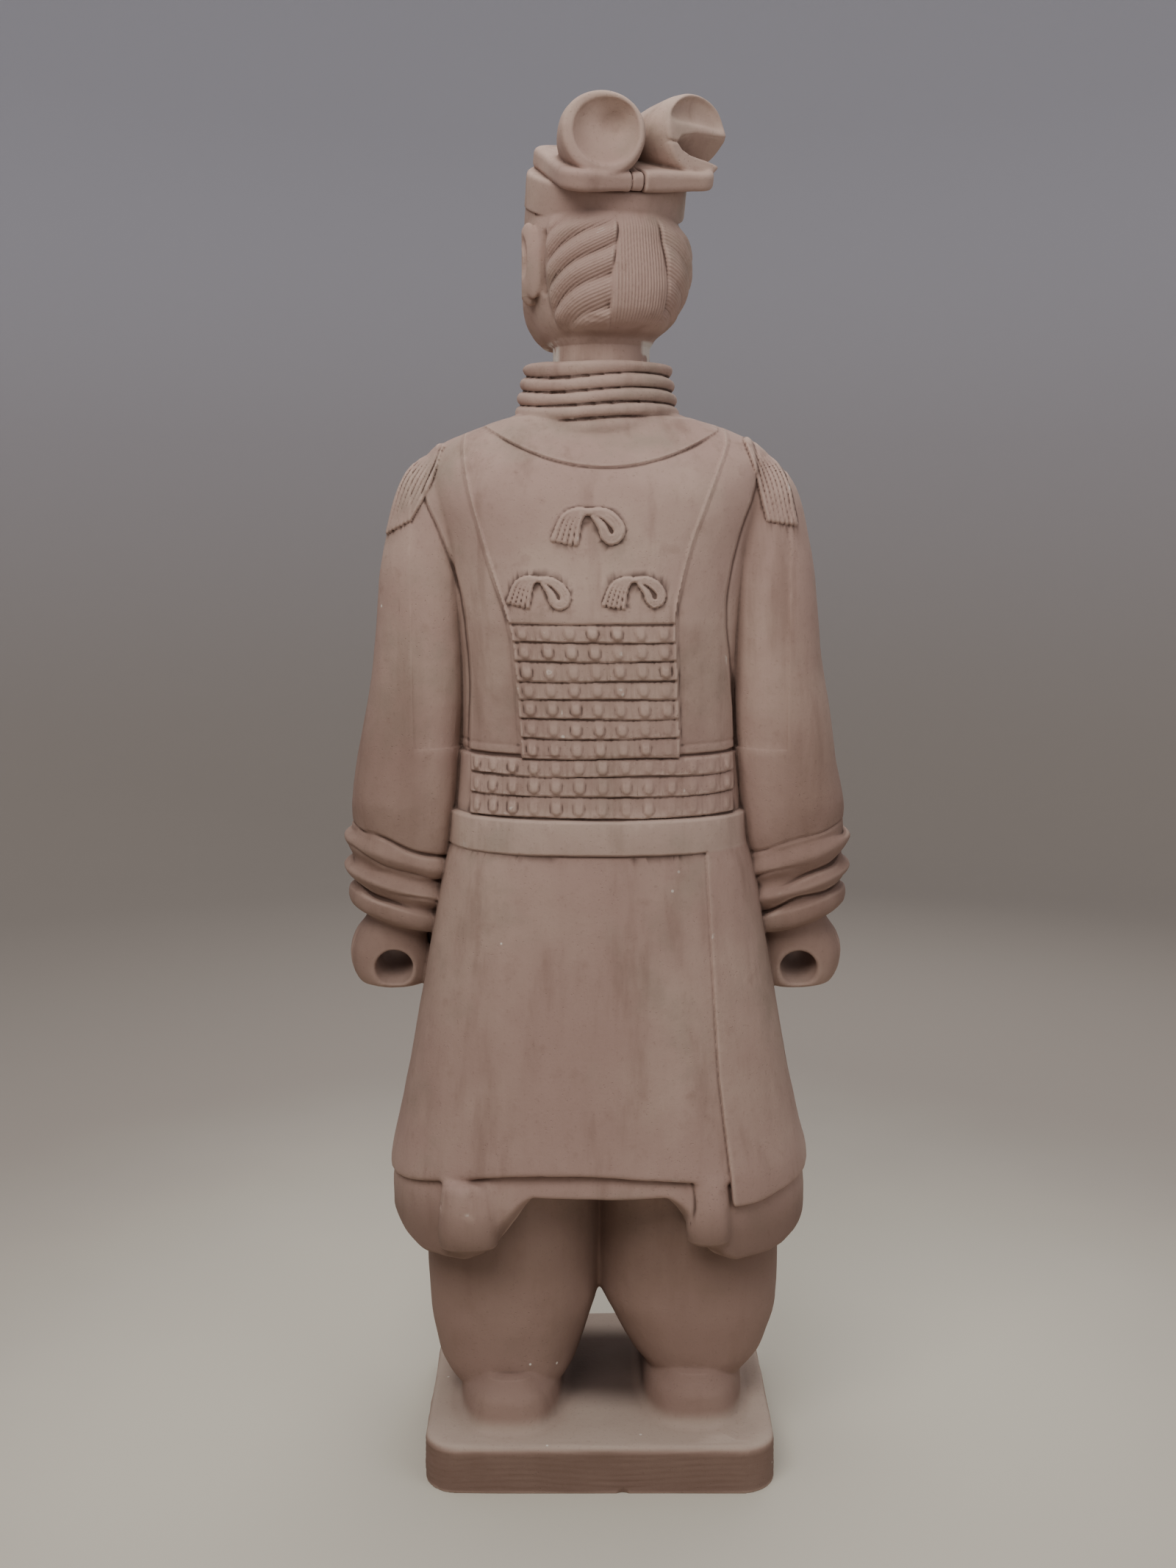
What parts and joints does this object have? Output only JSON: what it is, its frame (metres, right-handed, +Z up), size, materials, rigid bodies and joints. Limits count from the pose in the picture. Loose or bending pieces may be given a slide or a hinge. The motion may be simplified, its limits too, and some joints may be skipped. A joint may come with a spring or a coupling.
{
  "type": "terracotta warrior statue",
  "caption": "Standing terracotta officer in plate armour and long robe on a slab plinth, with fists once gripping and a lift-out head under a scrolled cap.",
  "frame": {"origin": "middle of the plinth's underside", "axes": "+Z up; the figure faces -Y and its own left hand is on +X"},
  "size_m": [0.692, 0.4, 1.7843],
  "materials": {
    "fired_clay": "unglazed, dusty",
    "fired_clay_head": "unglazed, dusty"
  },
  "bodies": {
    "root": {"figure": "fired_clay", "head": "fired_clay_head"}
  },
  "joints": []
}
